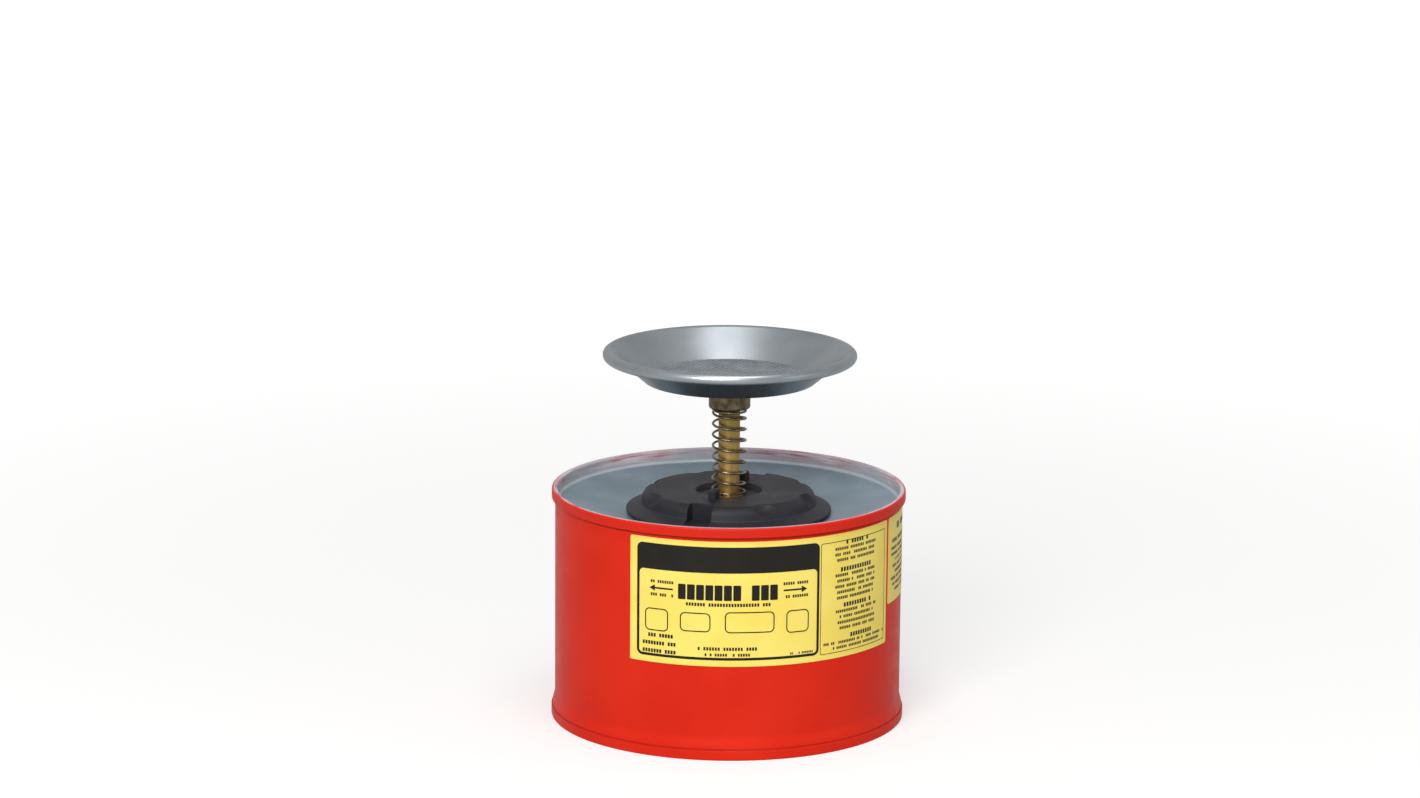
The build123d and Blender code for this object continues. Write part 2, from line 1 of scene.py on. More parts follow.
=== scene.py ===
# %% [markdown]
# # A plunger can in Blender
# A plunger can is the small round can on a mechanic's bench that wets a cloth with solvent:
# the cloth is pressed onto the pan, the pump under it fills the pan, and the pan springs back.
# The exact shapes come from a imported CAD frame. This lesson gives each surface its finish,
# and remakes the few pieces that look better as Blender meshes: the spring, and the labels
# with their print.
# %% Load the frame
import json
from math import ceil, cos, hypot, pi, radians, sin

import bmesh
import bpy
from mathutils import Matrix, Vector


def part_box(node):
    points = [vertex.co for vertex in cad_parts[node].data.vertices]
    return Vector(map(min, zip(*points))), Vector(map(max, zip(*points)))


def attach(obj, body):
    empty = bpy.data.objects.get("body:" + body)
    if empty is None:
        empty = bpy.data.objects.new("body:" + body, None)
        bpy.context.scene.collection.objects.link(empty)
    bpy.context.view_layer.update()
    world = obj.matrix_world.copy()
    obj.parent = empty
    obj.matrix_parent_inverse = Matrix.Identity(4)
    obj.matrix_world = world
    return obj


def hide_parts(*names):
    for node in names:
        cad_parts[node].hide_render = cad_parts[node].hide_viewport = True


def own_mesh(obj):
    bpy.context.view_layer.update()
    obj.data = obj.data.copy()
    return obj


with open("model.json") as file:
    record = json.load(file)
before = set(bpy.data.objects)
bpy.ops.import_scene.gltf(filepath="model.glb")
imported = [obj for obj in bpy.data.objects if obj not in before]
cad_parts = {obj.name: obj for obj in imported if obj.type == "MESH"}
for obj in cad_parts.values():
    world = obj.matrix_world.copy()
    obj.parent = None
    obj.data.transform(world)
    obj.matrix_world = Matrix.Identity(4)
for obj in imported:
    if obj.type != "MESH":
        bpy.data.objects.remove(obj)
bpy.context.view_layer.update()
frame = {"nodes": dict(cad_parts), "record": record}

scene = bpy.context.scene
nodes = frame["nodes"]
MM = 0.001  # the frame is in metres, and sizes here are given in millimetres

# %% [markdown]
# ## The camera
# The view is a product shot: a long lens, a little above the rim of the can, with the axis of
# the can almost upright in the picture. A long lens keeps the can's sides nearly parallel.
# The place and the three turns are written as a photographer would give them.
# %% Camera
CAMERA_PLACE = (0, -2475.7, 710.6)  # mm
CAMERA_PITCH = 0.2159  # radians, downwards
CAMERA_PAN = 0.0040
CAMERA_ROLL = 0.0090
CAMERA_LENS = 124.1  # mm, on a 36 mm sensor

camera_data = bpy.data.cameras.new("camera")
camera_data.lens = CAMERA_LENS
camera_data.sensor_width = 36
camera_data.clip_end = 100
camera = bpy.data.objects.new("camera", camera_data)
scene.collection.objects.link(camera)
turn = (
    Matrix.Rotation(pi / 2 - CAMERA_PITCH, 4, "X")
    @ Matrix.Rotation(CAMERA_PAN, 4, "Y")
    @ Matrix.Rotation(CAMERA_ROLL, 4, "Z")
)
camera.matrix_world = Matrix.Translation(Vector(CAMERA_PLACE) * MM) @ turn
scene.camera = camera
print("camera at", [round(v, 3) for v in camera.location])

# %% [markdown]
# ## Helpers for materials and shapes
# Colours are written as the hex values that a paint chart gives, and one function turns them
# into the linear numbers that the renderer adds up. One more function adds a node with its
# settings and its links, in a material or in a shape, so that a tree reads as a short list.
# %% Colour and node helpers


def to_linear(colour):
    """A hex colour such as #D8301F as linear red, green, blue and alpha."""
    channels = [int(colour[i : i + 2], 16) / 255 for i in (1, 3, 5)]
    linear = [c / 12.92 if c <= 0.04045 else ((c + 0.055) / 1.055) ** 2.4 for c in channels]
    return (*linear, 1.0)


def wire_up(tree, node, inputs):
    """Fills a node's inputs, each with a value, or a link from a node or from an output."""
    for key, value in inputs.items():
        live = [socket for socket in node.inputs if socket.enabled]
        socket = live[key] if isinstance(key, int) else next(s for s in live if s.name == key)
        if isinstance(value, bpy.types.Node):
            value = next(output for output in value.outputs if output.enabled)
        if isinstance(value, bpy.types.NodeSocket):
            tree.links.new(value, socket)
        else:
            socket.default_value = value


def add_node(tree, kind, inputs=(), **settings):
    """Adds a node with its settings, and wires up its inputs."""
    made = tree.nodes.new(kind)
    for name, value in settings.items():
        setattr(made, name, value)
    wire_up(tree, made, dict(inputs))
    return made


def new_material(name, uniform):
    """A material with one principled shader. What is the same all over it is in uniform."""
    made = bpy.data.materials.new(name)
    made.use_nodes = True
    tree = made.node_tree
    shader = tree.nodes["Principled BSDF"]
    wire_up(tree, shader, uniform)
    point = add_node(tree, "ShaderNodeTexCoord").outputs["Object"]
    return made, tree, shader, point


print("red enamel chip:", [round(c, 3) for c in to_linear("#DA2815")])

# %% [markdown]
# Two patterns serve several finishes. Patches are soft clouds of a given size, for stains and
# rubs. Ring marks are what a lathe, a drawing die or a wiping hand leaves on a round piece:
# noise that is fine across the rings and slow to change along them.
# %% Patches and ring marks


def patches(tree, point, size_mm, low=0.0, high=1.0, detail=3.0, edge=0.2):
    """Clouds about size_mm across that run from low to high."""
    clouds = {"Vector": point, "Scale": 1 / (size_mm * MM), "Detail": detail}
    clouds = add_node(tree, "ShaderNodeTexNoise", clouds)
    span = {"Value": clouds, 1: 0.5 - edge, 2: 0.5 + edge, 3: low, 4: high}
    return add_node(tree, "ShaderNodeMapRange", span, interpolation_type="SMOOTHSTEP")


def round_the_axis(tree, point):
    """The distance of a point from the upright axis, its direction from it, and its height."""
    parts = add_node(tree, "ShaderNodeSeparateXYZ", {0: point}).outputs
    flat = add_node(tree, "ShaderNodeCombineXYZ", {0: parts["X"], 1: parts["Y"]})
    radius = add_node(tree, "ShaderNodeVectorMath", {0: flat}, operation="LENGTH")
    direction = add_node(tree, "ShaderNodeVectorMath", {0: flat}, operation="NORMALIZE")
    return radius, direction, parts["Z"]


def ring_marks(tree, point, width_mm, slowness=2.0):
    """Noise in rings about width_mm wide, that changes more slowly along the rings."""
    radius, direction, height = round_the_axis(tree, point)
    slow = {0: direction, "Scale": slowness * MM}
    slow = add_node(tree, "ShaderNodeVectorMath", slow, operation="SCALE")
    across = add_node(tree, "ShaderNodeMath", {0: radius, 1: height}, operation="ADD")
    across = add_node(tree, "ShaderNodeCombineXYZ", {2: across})
    place = add_node(tree, "ShaderNodeVectorMath", {0: slow, 1: across}, operation="ADD")
    marks = {"Vector": place, "Scale": 1 / (width_mm * MM), "Detail": 3}
    return add_node(tree, "ShaderNodeTexNoise", marks)


print("patterns ready")

# %% [markdown]
# ## Light, floor and backdrop
# The can stands on a pale sweep under large soft lamps, as in a catalogue. The key light is
# in front, high and to the left, a weaker one fills the right, and one overhead draws the
# long highlights on the pan's rim and the seams. The floor glows a little for the camera,
# which turns it white without more light on the can, and it still takes the can's shadow.
# What the metal mirrors gets a share of that glow, and of the white that the camera sees.
# %% World
SKY_LIGHT = 0.36  # what the sky gives the can; the camera sees it at 1, which is white
SKY_IN_METAL = 0.28  # how far a reflection goes towards what the camera sees, in sky and floor

scene.view_settings.view_transform = "Standard"
world = bpy.data.worlds.new("studio")
scene.world = world
world.use_nodes = True
world_tree = world.node_tree
rays = add_node(world_tree, "ShaderNodeLightPath").outputs
seen = {0: rays["Is Camera Ray"], 1: rays["Is Transmission Ray"]}
seen = add_node(world_tree, "ShaderNodeMath", seen, operation="MAXIMUM")
mirrored = {0: rays["Is Glossy Ray"], 1: SKY_IN_METAL}
mirrored = add_node(world_tree, "ShaderNodeMath", mirrored, operation="MULTIPLY")
seen = add_node(world_tree, "ShaderNodeMath", {0: seen, 1: mirrored}, operation="MAXIMUM")
strength = add_node(world_tree, "ShaderNodeMapRange", {"Value": seen, 3: SKY_LIGHT, 4: 1.0})
sky = world_tree.nodes["Background"]
wire_up(world_tree, sky, {"Color": (1, 1, 1, 1), "Strength": strength})
print("sky gives", SKY_LIGHT)

# %% [markdown]
# The lamps are large for their distance, so their reflections are broad and soft. Together
# with the sky they are set so that a colour renders about as it is written.
# %% Lamps


def soft_lamp(name, place, size, watts):
    """A square lamp, large for its distance, pointed at the middle of the can."""
    data = bpy.data.lights.new(name, "AREA")
    data.size = size
    data.energy = watts
    lamp = bpy.data.objects.new(name, data)
    scene.collection.objects.link(lamp)
    lamp.location = place
    aim = Vector((0, 0, 0.1)) - Vector(place)
    lamp.rotation_euler = aim.to_track_quat("-Z", "Y").to_euler()


soft_lamp("key", (-0.55, -2.0, 1.35), 1.1, 36)
soft_lamp("fill", (1.8, -0.9, 0.6), 0.9, 2)
soft_lamp("overhead", (0.1, -0.6, 1.9), 1.0, 12)
print("lamps:", len(bpy.data.lights))

# %% [markdown]
# The floor is one very wide sheet of matt paper. Its glow is there only for what the camera
# sees or a shiny piece mirrors, and a matt surface never gets light from it.
# %% Floor
FLOOR_HALF = 12.0  # metres

corners = [(-1, -1), (1, -1), (1, 1), (-1, 1)]
floor_mesh = bpy.data.meshes.new("floor")
floor_mesh.from_pydata([(x * FLOOR_HALF, y * FLOOR_HALF, 0) for x, y in corners], [], [range(4)])
floor = bpy.data.objects.new("floor", floor_mesh)
scene.collection.objects.link(floor)

sweep_surface = {
    "Base Color": to_linear("#BEBEBD"),
    "Roughness": 0.9,
    "Emission Color": (1, 1, 1, 1),
}
sweep_paper, floor_tree, floor_shader, floor_point = new_material("sweep_paper", sweep_surface)
away = add_node(floor_tree, "ShaderNodeVectorMath", {0: floor_point}, operation="LENGTH")
# the glow grows from the can, at 0.2 m, to the far floor, at 1.8 m
lift = {"Value": away, 1: 0.2, 2: 1.8, 3: 0.5, 4: 0.88}
lift = add_node(floor_tree, "ShaderNodeMapRange", lift, interpolation_type="SMOOTHSTEP")
rays = add_node(floor_tree, "ShaderNodeLightPath").outputs
seen = {0: rays["Is Camera Ray"], 1: rays["Is Transmission Ray"]}
seen = add_node(floor_tree, "ShaderNodeMath", seen, operation="MAXIMUM")
mirrored = {0: rays["Is Glossy Ray"], 1: SKY_IN_METAL, 2: seen}
seen = add_node(floor_tree, "ShaderNodeMath", mirrored, operation="MULTIPLY_ADD")
glow = add_node(floor_tree, "ShaderNodeMath", {0: seen, 1: lift}, operation="MULTIPLY")
wire_up(floor_tree, floor_shader, {"Emission Strength": glow})
floor_mesh.materials.append(sweep_paper)
print("floor", 2 * FLOOR_HALF, "m wide")

# %% [markdown]
# ## Red enamel
# The can is sprayed with a gloss enamel and baked. It levels out almost flat, with a faint
# orange peel a few millimetres across, and a hard shine. A painted shade darkens the red in
# the crease under the top seam, and a fainter line of it runs along the base seam; it is
# painted in by height.
# %% Red enamel
SEAM_H = 5.2 * MM
SEAM_FOOT_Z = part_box("can_lid")[1].z - SEAM_H  # lower edge of the top seam


def red_enamel():
    # a low specular level: the usual 0.5 would mirror the white sky and wash the red out
    surface = {"IOR": 1.5, "Specular IOR Level": 0.08, "Coat Weight": 0.02, "Coat Roughness": 0.07}
    made, tree, shader, point = new_material("baked_red_enamel", surface)
    height = add_node(tree, "ShaderNodeSeparateXYZ", {0: point}).outputs["Z"]
    clouds = patches(tree, point, 45)
    colour = {"Factor": clouds, "A": to_linear("#DA2815"), "B": to_linear("#E22E1A")}
    colour = add_node(tree, "ShaderNodeMix", colour, data_type="RGBA")

    # painted shade: 1.6 mm of it under the top seam, and a fainter line 1 mm wide at the base seam
    under_rim = {"Value": height, 1: SEAM_FOOT_Z - 1.6 * MM, 2: SEAM_FOOT_Z - 0.3 * MM, 4: 0.6}
    under_rim = add_node(tree, "ShaderNodeMapRange", under_rim)
    at_base = {0: height, 1: SEAM_H + 0.3 * MM, 2: 0.5 * MM}
    at_base = add_node(tree, "ShaderNodeMath", at_base, operation="COMPARE")
    at_base = add_node(tree, "ShaderNodeMath", {0: at_base, 1: 0.3}, operation="MULTIPLY")
    painted_seam_shade = add_node(tree, "ShaderNodeMath", {0: under_rim, 1: at_base}, operation="MAXIMUM")
    colour = {"Factor": painted_seam_shade, "A": colour, "B": to_linear("#5E100B")}
    colour = add_node(tree, "ShaderNodeMix", colour, data_type="RGBA")

    peel = {"Vector": point, "Scale": 1 / (5 * MM), "Detail": 1}
    peel = add_node(tree, "ShaderNodeTexNoise", peel)
    ripple = add_node(tree, "ShaderNodeBump", {"Height": peel, "Distance": 0.008 * MM})
    rough = patches(tree, point, 9, 0.3, 0.38)
    wire_up(tree, shader, {"Base Color": colour, "Roughness": rough, "Normal": ripple})
    return made


enamel = red_enamel()
print("made", enamel.name)

# %% [markdown]
# ## Galvanised lid with a painted rim
# The lid is galvanised sheet: a dull blue-grey zinc skin with large, faint crystals. Paint is
# sprayed from outside, so the rolled seam is red, and a dry pink mist of it reaches the inner
# wall and fades out downwards, wiped thin in streaks. The zinc, the paint and the mist are one
# material, mixed by the distance from the axis and the height, with noise to break the edge.
# %% Galvanised lid
lid_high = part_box("can_lid")[1]
SEAM_R = lid_high.x
RIM_Z = lid_high.z
WALL_R = SEAM_R - 3.0 * MM  # inner face of the lid's wall


def galvanised_lid():
    surface = {"IOR": 1.5, "Specular IOR Level": 0.15}
    made, tree, shader, point = new_material("galvanised_sheet_with_enamel_rim", surface)
    radius, _, height = round_the_axis(tree, point)

    # bare zinc: crystals 9 mm across, darker smudges, and a painted highlight on the inner wall
    crystals = {"Vector": point, "Scale": 1 / (9 * MM)}
    crystals = add_node(tree, "ShaderNodeTexVoronoi", crystals).outputs["Color"]
    shade = add_node(tree, "ShaderNodeSeparateColor", {0: crystals}).outputs["Red"]
    zinc = {"Factor": shade, "A": to_linear("#93A9B5"), "B": to_linear("#A2B3BD")}
    zinc = add_node(tree, "ShaderNodeMix", zinc, data_type="RGBA")
    smudge = patches(tree, point, 28, 0.0, 0.5, detail=4)
    zinc = {"Factor": smudge, "A": zinc, "B": to_linear("#7A8A95")}
    zinc = add_node(tree, "ShaderNodeMix", zinc, data_type="RGBA")
    on_wall = {"Value": radius, 1: WALL_R - 1.6 * MM, 2: WALL_R - 0.2 * MM}
    on_wall = add_node(tree, "ShaderNodeMapRange", on_wall)
    painted_wall_highlight = add_node(tree, "ShaderNodeMath", {0: on_wall, 1: 0.75}, operation="MULTIPLY")
    zinc = {"Factor": painted_wall_highlight, "A": zinc, "B": to_linear("#DCE0E4")}
    zinc = add_node(tree, "ShaderNodeMix", zinc, data_type="RGBA")

    # the mist: thickest at the rim, gone 6.5 mm lower, missing in places, and streaky
    reach = {"Value": height, 1: RIM_Z - 6.5 * MM, 2: RIM_Z - 2.6 * MM, 4: 1.0}
    reach = add_node(tree, "ShaderNodeMapRange", reach)
    reach = add_node(tree, "ShaderNodeMath", {0: reach, 1: on_wall}, operation="MULTIPLY")
    bare = patches(tree, point, 55, 0.3, 1.0, detail=2, edge=0.1)
    mist = add_node(tree, "ShaderNodeMath", {0: reach, 1: bare}, operation="MULTIPLY")
    streaks = {"Value": ring_marks(tree, point, 1.1, 6.0), 1: 0.38, 2: 0.62}
    streaks = add_node(tree, "ShaderNodeMapRange", streaks)
    pink = {"Factor": streaks, "A": to_linear("#EED2D8"), "B": to_linear("#B05A6C")}
    pink = add_node(tree, "ShaderNodeMix", pink, data_type="RGBA")
    colour = {"Factor": mist, "A": zinc, "B": pink}
    colour = add_node(tree, "ShaderNodeMix", colour, data_type="RGBA")

    painted = {"Value": radius, 1: SEAM_R - 1.3 * MM, 2: SEAM_R - 0.5 * MM}
    painted = add_node(tree, "ShaderNodeMapRange", painted)
    colour = {"Factor": painted, "A": colour, "B": to_linear("#DA2816")}
    colour = add_node(tree, "ShaderNodeMix", colour, data_type="RGBA")
    cover = add_node(tree, "ShaderNodeMath", {0: mist, 1: painted}, operation="MAXIMUM")
    metal_share = {"Value": cover, 1: 0.0, 2: 0.6, 3: 0.55, 4: 0.0}
    metal_share = add_node(tree, "ShaderNodeMapRange", metal_share)
    rough = add_node(tree, "ShaderNodeMapRange", {"Value": shade, 3: 0.38, 4: 0.46})
    dents = {"Vector": point, "Scale": 1 / (2.2 * MM), "Detail": 4}
    dents = add_node(tree, "ShaderNodeTexNoise", dents)
    skin = add_node(tree, "ShaderNodeBump", {"Height": dents, "Distance": 0.02 * MM})
    finish = {"Base Color": colour, "Metallic": metal_share, "Roughness": rough, "Normal": skin}
    wire_up(tree, shader, finish)
    return made


lid_finish = galvanised_lid()
print("lid wall radius", round(WALL_R / MM, 1), "mm")

# %% [markdown]
# ## Black moulded nylon
# The pump's cap is an injection-moulded nylon with glass in it: nearly black, with a dull
# sheen, a fine spark-eroded grain from the mould, and soft grey rubs where hands hold it.
# %% Black nylon


def black_nylon():
    surface = {"IOR": 1.53, "Specular IOR Level": 0.2}
    made, tree, shader, point = new_material("moulded_black_nylon", surface)
    rubs = patches(tree, point, 14, detail=5, edge=0.25)
    colour = {"Factor": rubs, "A": to_linear("#28282C"), "B": to_linear("#34343A")}
    colour = add_node(tree, "ShaderNodeMix", colour, data_type="RGBA")
    rough = add_node(tree, "ShaderNodeMapRange", {"Value": rubs, 3: 0.42, 4: 0.55})
    grain = {"Vector": point, "Scale": 1 / (0.7 * MM), "Detail": 3}
    grain = add_node(tree, "ShaderNodeTexNoise", grain)
    etched = add_node(tree, "ShaderNodeBump", {"Height": grain, "Distance": 0.03 * MM})
    wire_up(tree, shader, {"Base Color": colour, "Roughness": rough, "Normal": etched})
    return made


nylon = black_nylon()
print("made", nylon.name)

# %% [markdown]
# ## Metals of the pump
# The stem is drawn brass tube, bright at its foot and painted darker towards the hub, a painted
# shade for the pan's shadow. The hub is brass too, darkened almost to bronze. The pan is spun from
# steel sheet, so its fine marks run in rings. One function makes them all from two shades, a
# roughness, and the width and depth of the tool marks in millimetres.
# %% Metals


def metal(name, light, dark, rough, mark_mm, mark_depth_mm, patch_mm=12, painted_shade=None):
    """A bare metal with the default IOR. The last argument is a painted shade: a colour and the
    heights it grows between.
    """
    made, tree, shader, point = new_material(name, {"Metallic": 1.0})
    stains = patches(tree, point, patch_mm, detail=4)
    colour = {"Factor": stains, "A": to_linear(light), "B": to_linear(dark)}
    colour = add_node(tree, "ShaderNodeMix", colour, data_type="RGBA")
    if painted_shade:
        brown, from_z, to_z = painted_shade
        height = add_node(tree, "ShaderNodeSeparateXYZ", {0: point}).outputs["Z"]
        shade_share = {"Value": height, 1: from_z, 2: to_z, 4: 0.85}
        shade_share = add_node(tree, "ShaderNodeMapRange", shade_share, interpolation_type="SMOOTHSTEP")
        colour = {"Factor": shade_share, "A": colour, "B": to_linear(brown)}
        colour = add_node(tree, "ShaderNodeMix", colour, data_type="RGBA")
    marks = ring_marks(tree, point, mark_mm)
    uneven = {"Value": marks, 1: 0.3, 2: 0.7, 3: rough - 0.03, 4: rough + 0.04}
    uneven = add_node(tree, "ShaderNodeMapRange", uneven)
    cut = add_node(tree, "ShaderNodeBump", {"Height": marks, "Distance": mark_depth_mm * MM})
    wire_up(tree, shader, {"Base Color": colour, "Roughness": uneven, "Normal": cut})
    return made


well_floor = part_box("guide_bush")[1].z
hub_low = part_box("pan_hub")[0]
# a painted shade: the stem darkens towards the hub, where the pan's shadow falls
pan_shadow_on_stem = ("#7A6838", well_floor + 6 * MM, hub_low.z)
finishes = {
    # drawn tube: a bright yellow sheen, with fine rings and small stains
    "brass_tube": metal("drawn_brass_tube", "#F6CF7E", "#DDB468", 0.38, 0.5, 0.004, 7, pan_shadow_on_stem),
    # turned on a lathe: an even satin yellow
    "brass_fitting": metal("turned_brass", "#C8AA66", "#A88850", 0.32, 0.4, 0.006),
    # brass gone dark with solvent and handling: low brown highlights
    "dark_bronze": metal("darkened_brass", "#7E7258", "#4C4434", 0.34, 0.5, 0.006, 5),
    # drawn wire: an oily grey-brown, with small glints along each turn
    "spring_wire": metal("drawn_spring_wire", "#A39780", "#65594A", 0.3, 0.3, 0.003, 5),
    # spun sheet: a grey satin with faint rings, shaded in broad soft areas
    "satin_steel": metal("spun_satin_steel", "#AFB5BA", "#9DA5AA", 0.36, 0.6, 0.003, 30),
    # punched sheet: duller than the pan, so that its holes show
    "screen_steel": metal("punched_steel_sheet", "#ADB4B7", "#989FA2", 0.5, 0.6, 0.004, 10),
    # ground: bright and smooth, with small clear highlights
    "stainless_steel": metal("ground_stainless_steel", "#C0C2C4", "#A5A7AA", 0.25, 0.3, 0.003),
    # zinc plate: pale, between satin and shiny
    "zinc_screw": metal("zinc_plated_steel", "#B9BCC0", "#A2A6AB", 0.35, 0.4, 0.004),
}
print("metals:", ", ".join(sorted(finishes)))

# %% [markdown]
# ## Rubber, paper and ink
# The seals are black nitrile rubber, matt and a little dusty. The labels are printed vinyl
# paper with a thin varnish: warm yellow, almost smooth, with a soft shine. The ink is a
# layer of its own, a few hundredths of a millimetre proud, so that its edges stay sharp.
# %% Rubber, label paper and ink


def plain_finish(name, light, dark, rough, patch_mm, grain_mm, grain_depth_mm):
    """A non-metal: two near shades in patches, and a fine grain."""
    made, tree, shader, point = new_material(name, {"IOR": 1.5, "Specular IOR Level": 0.28})
    colour = {"Factor": patches(tree, point, patch_mm), "A": to_linear(light), "B": to_linear(dark)}
    colour = add_node(tree, "ShaderNodeMix", colour, data_type="RGBA")
    grain = {"Vector": point, "Scale": 1 / (grain_mm * MM), "Detail": 3}
    grain = add_node(tree, "ShaderNodeTexNoise", grain)
    uneven = {"Value": grain, 1: 0.3, 2: 0.7, 3: rough - 0.04, 4: rough + 0.05}
    uneven = add_node(tree, "ShaderNodeMapRange", uneven)
    skin = add_node(tree, "ShaderNodeBump", {"Height": grain, "Distance": grain_depth_mm * MM})
    wire_up(tree, shader, {"Base Color": colour, "Roughness": uneven, "Normal": skin})
    return made


finishes["black_rubber"] = plain_finish("nitrile_rubber", "#1E1E1E", "#2A2A29", 0.7, 6, 0.6, 0.03)
finishes["label_paper"] = plain_finish(
    "varnished_yellow_label", "#FFEB76", "#FDE368", 0.36, 25, 0.9, 0.004
)
ink = plain_finish("black_screen_ink", "#16130C", "#1B170F", 0.42, 8, 0.8, 0.004)
finishes["red_enamel"] = enamel
finishes["galvanised_steel"] = lid_finish
finishes["black_nylon"] = nylon
print("finishes:", len(finishes) + 1)

# %% [markdown]
# ## Finishes on the CAD pieces
# Every CAD node already has the true shape, with smooth normals, so it only takes the finish
# that the record names for it.
# %% Give each CAD node its finish
for part in frame["record"]["subparts"]:
    piece = nodes[part["node"]]
    piece.data.materials.clear()
    piece.data.materials.append(finishes[part["material_slot"]])
print("finished", len(nodes), "CAD nodes")

# %% [markdown]
# ## A small kit for Geometry Nodes
# A tree is built once, with named inputs, and then laid on a carrier object. The modifier is
# evaluated, its result becomes a plain mesh, and the modifier goes away, so that the piece
# that is left has no live parts.
# %% Geometry Nodes helpers


def new_tree(name, sizes):
    """A geometry tree with one named number input for each size, and those inputs' outputs."""
    tree = bpy.data.node_groups.new(name, "GeometryNodeTree")
    tree.interface.new_socket("Geometry", in_out="OUTPUT", socket_type="NodeSocketGeometry")
    for label, value in sizes.items():
        kind = "NodeSocketInt" if isinstance(value, int) else "NodeSocketFloat"
        socket = tree.interface.new_socket(label, in_out="INPUT", socket_type=kind)
        socket.default_value = value
    return tree, add_node(tree, "NodeGroupInput").outputs


def finish_tree(tree, geometry, material):
    """Ends a tree: instances made real, material set."""
    real = add_node(tree, "GeometryNodeRealizeInstances", {"Geometry": geometry})
    painted = {"Geometry": real, "Material": material}
    painted = add_node(tree, "GeometryNodeSetMaterial", painted)
    add_node(tree, "NodeGroupOutput", {"Geometry": painted})


def mesh_from_tree(name, tree, sizes):
    """Runs a tree with these sizes and keeps its result as a plain mesh object."""
    carrier = bpy.data.objects.new(name, bpy.data.meshes.new(name))
    scene.collection.objects.link(carrier)
    modifier = carrier.modifiers.new("shape", "NODES")
    modifier.node_group = tree
    for socket in tree.interface.items_tree:
        if socket.in_out == "INPUT" and socket.name in sizes:
            modifier[socket.identifier] = sizes[socket.name]
    graph = bpy.context.evaluated_depsgraph_get()
    made = bpy.data.meshes.new_from_object(carrier.evaluated_get(graph), depsgraph=graph)
    carrier.modifiers.clear()
    carrier.data = made
    print(name, "has", len(made.polygons), "faces")
    return carrier


print("geometry kit ready")

# %% [markdown]
# ## The return spring
# The spring is drawn wire wound left-handed round the stem. Its end turns lie flat and
# closed, and the turns between them are evenly spaced. A spiral curve gives the turns, three
# ramps lay out the height of the closed foot, the free turns and the closed head, and a round
# profile swept along the curve gives the wire. It is attached to the pump's head.
# %% Return spring
WIRE_R = 0.625 * MM
COIL_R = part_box("return_spring")[1].x - WIRE_R  # centre of the wire
TURNS = 9.25
CLOSED_PITCH = 2.04  # rise of a closed turn, in wire radii: the wire lies on itself


def spring_tree(material):
    sizes = {"coil_radius": COIL_R, "wire_radius": WIRE_R, "bottom": 0.0, "length": 0.04}
    tree, size = new_tree("helical_spring", {**sizes, "turns": TURNS, "start": 0.0})
    coil = {
        "Resolution": 56,
        "Rotations": size["turns"],
        "Start Radius": size["coil_radius"],
        "End Radius": size["coil_radius"],
        "Height": size["length"],
        "Reverse": False,
    }
    coil = add_node(tree, "GeometryNodeCurveSpiral", coil)

    # height of each point, from its share of the wire's length
    share = add_node(tree, "GeometryNodeSplineParameter").outputs["Factor"]
    closed = {0: size["wire_radius"], 1: CLOSED_PITCH}
    closed = add_node(tree, "ShaderNodeMath", closed, operation="MULTIPLY")
    free = {0: closed, 1: -2.0, 2: size["length"]}
    free = add_node(tree, "ShaderNodeMath", free, operation="MULTIPLY_ADD")
    one_turn = add_node(tree, "ShaderNodeMath", {0: 1.0, 1: size["turns"]}, operation="DIVIDE")
    last_turn = add_node(tree, "ShaderNodeMath", {0: 1.0, 1: one_turn}, operation="SUBTRACT")
    rise = size["bottom"]
    foot = (0.0, one_turn, closed)
    middle = (one_turn, last_turn, free)
    head = (last_turn, 1.0, closed)
    for start, end, climb in (foot, middle, head):
        ramp = add_node(tree, "ShaderNodeMapRange", {"Value": share, 1: start, 2: end, 4: climb})
        rise = add_node(tree, "ShaderNodeMath", {0: rise, 1: ramp}, operation="ADD")
    spot = add_node(tree, "ShaderNodeSeparateXYZ", {0: add_node(tree, "GeometryNodeInputPosition")})
    place = {0: spot.outputs["X"], 1: spot.outputs["Y"], 2: rise}
    place = add_node(tree, "ShaderNodeCombineXYZ", place)
    shaped = add_node(tree, "GeometryNodeSetPosition", {"Geometry": coil, "Position": place})

    profile = {"Resolution": 14, "Radius": size["wire_radius"]}
    profile = add_node(tree, "GeometryNodeCurvePrimitiveCircle", profile)
    wire = {"Curve": shaped, "Profile Curve": profile, "Fill Caps": True}
    wire = add_node(tree, "GeometryNodeCurveToMesh", wire)
    angle = add_node(tree, "ShaderNodeCombineXYZ", {2: size["start"]})
    turned = add_node(tree, "GeometryNodeTransform", {"Geometry": wire, "Rotation": angle})
    smooth = add_node(tree, "GeometryNodeSetShadeSmooth", {"Geometry": turned})
    finish_tree(tree, smooth, material)
    return tree


SPRING_GAP = 0.05 * MM
spring_low = well_floor + WIRE_R + SPRING_GAP
spring_length = hub_low.z - WIRE_R - SPRING_GAP - spring_low
spring_sizes = {"bottom": spring_low, "length": spring_length, "start": radians(-126)}
spring = mesh_from_tree(
    "return_spring_wire", spring_tree(finishes["spring_wire"]), spring_sizes
)
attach(spring, "pump_head")
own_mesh(spring)
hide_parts("return_spring")

# %% [markdown]
# ## Labels
# The main label wraps a quarter of the can, and a second one starts beside it with a narrow
# strip of red between. Both are curved sheets, thin but with real edges, so they catch light
# like something stuck on. A label is drawn flat, as across and up in millimetres, and one
# function bends what is drawn round the can.
# %% Bend flat drawings round the can
label_low, label_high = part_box("front_label")
side_low, side_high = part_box("side_label")
PAPER_R = side_high.x
PAPER_T = 0.2 * MM
SHELL_R = PAPER_R - PAPER_T
GLUE_T = 0.01 * MM
INK_T = 0.03 * MM
PAPER_CORNER = 1.2  # mm
STEP = 1.2  # mm, the longest straight piece of a bent edge


